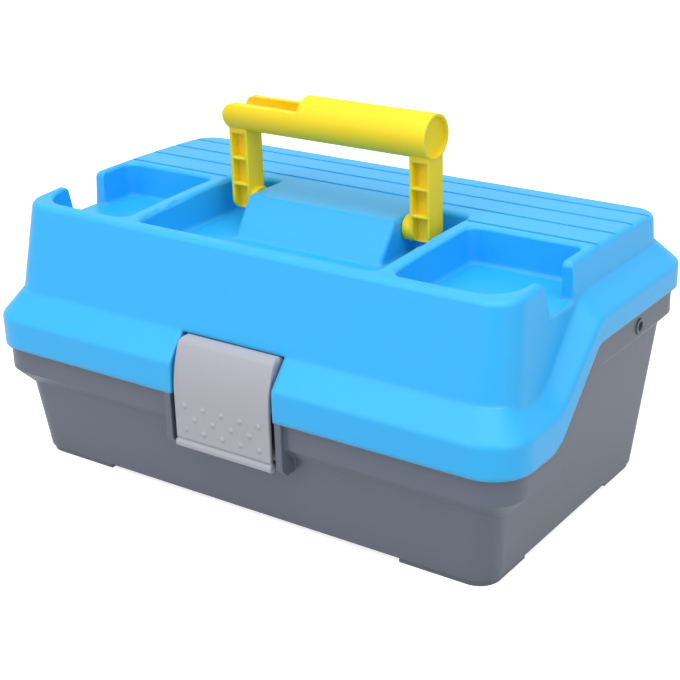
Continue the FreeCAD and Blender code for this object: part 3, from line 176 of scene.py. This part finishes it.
# The second colour of each plastic is its painted edge highlight.
blue = moulded_plastic("polypropylene_blue", "#24AFF2", "#74CFFF", 0.42, 0.25, (0.2, 0.7, 1.0), LID_RADII)
grey = moulded_plastic("polypropylene_grey", "#5A6170", "#828795", 0.46)
yellow = moulded_plastic("polypropylene_yellow", "#FBD90A", "#FFF06A", 0.55, 0.6, (1.0, 0.75, 0.1))
pale_grey = moulded_plastic("polypropylene_pale_grey", "#A6A7B0", "#C4C5CC", 0.44)
tray_grey = moulded_plastic("polypropylene_tray", "#A6A7AE", "#C6C7CC", 0.48)
print("plastics:", [m.name for m in (blue, grey, yellow, pale_grey, tray_grey)])

# %% [markdown]
# ## Drawn steel
#
# The pins are cut from drawn steel wire, zinc plated. Drawing leaves fine lines along the wire, so the grain is
# a noise that is stretched along X, the direction of every pin here.

# %% Steel for the pins
WIRE_GRAIN = 0.25 * MM
WIRE_LINE_HEIGHT = 0.01 * MM
WIRE_STRETCH = (0.05, 1.0, 1.0)

steel = new_material("drawn_steel_zinc")
steel_place = add_node(steel, "ShaderNodeTexCoord").outputs["Object"]
steel_lines = add_node(steel, "ShaderNodeMapping", inputs={"Vector": steel_place, "Scale": WIRE_STRETCH})
steel_grain = add_node(steel, "ShaderNodeTexNoise", inputs={
    "Vector": steel_lines.outputs["Vector"], "Scale": 1 / WIRE_GRAIN, "Detail": 3.0}).outputs["Fac"]
steel_bump = add_node(steel, "ShaderNodeBump", inputs={"Height": steel_grain, "Distance": WIRE_LINE_HEIGHT})
steel_shader = add_node(steel, "ShaderNodeBsdfPrincipled", inputs={
    "Base Color": linear("#B9BBBD"), "Metallic": 1.0,
    "Roughness": map_value(steel, steel_grain, (0.0, 1.0), 0.22, 0.42), "Normal": steel_bump.outputs["Normal"]})
add_node(steel, "ShaderNodeOutputMaterial", inputs={"Surface": steel_shader.outputs["BSDF"]})
print("metal:", steel.name)

# %% Give each CAD node its finish
FINISHES = {"blue_plastic": blue, "grey_plastic": grey, "yellow_plastic": yellow,
            "light_grey_plastic": pale_grey, "tray_plastic": tray_grey, "arm_plastic": grey, "steel": steel}
slots = {part["node"]: part["material_slot"] for part in frame["record"]["subparts"]}
for name, node in frame["nodes"].items():
    node.data.materials.clear()
    node.data.materials.append(FINISHES[slots[name]])
print(len(slots), "nodes dressed")

# %% [markdown]
# ## Studio
#
# The photograph is a catalogue picture: a white sweep, large soft lights and hardly any shadow. The floor keeps
# a soft contact shadow. What the camera and gloss see of the room gets plain white, through Light Path.

# %% Floor
FLOOR_SIZE = 12
WHITE = (1.0, 1.0, 1.0, 1.0)

floor_material = new_material("studio_floor_white")
floor_path = add_node(floor_material, "ShaderNodeLightPath").outputs
floor_plain = add_node(floor_material, "ShaderNodeBsdfDiffuse", inputs={"Color": (0.6, 0.6, 0.6, 1.0)})
floor_glow = add_node(floor_material, "ShaderNodeEmission", inputs={"Color": WHITE, "Strength": 0.75})
floor_bright = add_node(floor_material, "ShaderNodeAddShader", inputs={
    0: floor_plain.outputs["BSDF"], 1: floor_glow.outputs["Emission"]})
floor_seen = add_node(floor_material, "ShaderNodeMath", {"operation": "MAXIMUM"}, {
    0: floor_path["Is Camera Ray"], 1: floor_path["Is Glossy Ray"]})
floor_mix = add_node(floor_material, "ShaderNodeMixShader", inputs={
    0: floor_seen.outputs["Value"], 1: floor_plain.outputs["BSDF"], 2: floor_bright.outputs["Shader"]})
add_node(floor_material, "ShaderNodeOutputMaterial", inputs={"Surface": floor_mix.outputs["Shader"]})

bpy.ops.object.select_all(action="DESELECT")
bpy.ops.mesh.primitive_plane_add(size=FLOOR_SIZE, location=(0, 0, 0))
floor = bpy.context.object
floor.name = "studio_floor"
floor.data.materials.append(floor_material)
print("floor:", floor.name)

# %% White surroundings
world = bpy.data.worlds.new("studio_world")
bpy.context.scene.world = world
world.use_nodes = True
world.node_tree.nodes.clear()
world_path = add_node(world, "ShaderNodeLightPath").outputs
world_light = add_node(world, "ShaderNodeBackground", inputs={"Color": WHITE, "Strength": 0.45})
world_white = add_node(world, "ShaderNodeBackground", inputs={"Color": WHITE, "Strength": 1.0})
world_first = add_node(world, "ShaderNodeMath", {"operation": "MAXIMUM"}, {
    0: world_path["Is Camera Ray"], 1: world_path["Is Glossy Ray"]})
world_seen = add_node(world, "ShaderNodeMath", {"operation": "MAXIMUM"}, {
    0: world_first.outputs["Value"], 1: world_path["Is Transmission Ray"]})
world_mix = add_node(world, "ShaderNodeMixShader", inputs={
    0: world_seen.outputs["Value"], 1: world_light.outputs["Background"], 2: world_white.outputs["Background"]})
add_node(world, "ShaderNodeOutputWorld", inputs={"Surface": world_mix.outputs["Shader"]})
print("world:", world.name)

# %% Lamps
BOX_MIDDLE = Vector((0, 0, 0.08))


def softbox(name, place, size, power):
    """A square area lamp that looks at the middle of the box."""
    data = bpy.data.lights.new(name, "AREA")
    data.size, data.energy = size, power
    lamp = bpy.data.objects.new(name, data)
    lamp.location = place
    aim = BOX_MIDDLE - Vector(place)
    lamp.rotation_mode = "QUATERNION"
    lamp.rotation_quaternion = aim.to_track_quat("-Z", "Y")
    bpy.context.scene.collection.objects.link(lamp)


softbox("softbox_top", (0.1, -0.3, 1.5), 1.4, 16.5)
softbox("softbox_right", (1.5, -0.5, 0.9), 1.2, 8)
softbox("softbox_left", (-0.6, -1.5, 1.0), 1.2, 9)
print("lamps:", [lamp.name for lamp in bpy.data.lights])
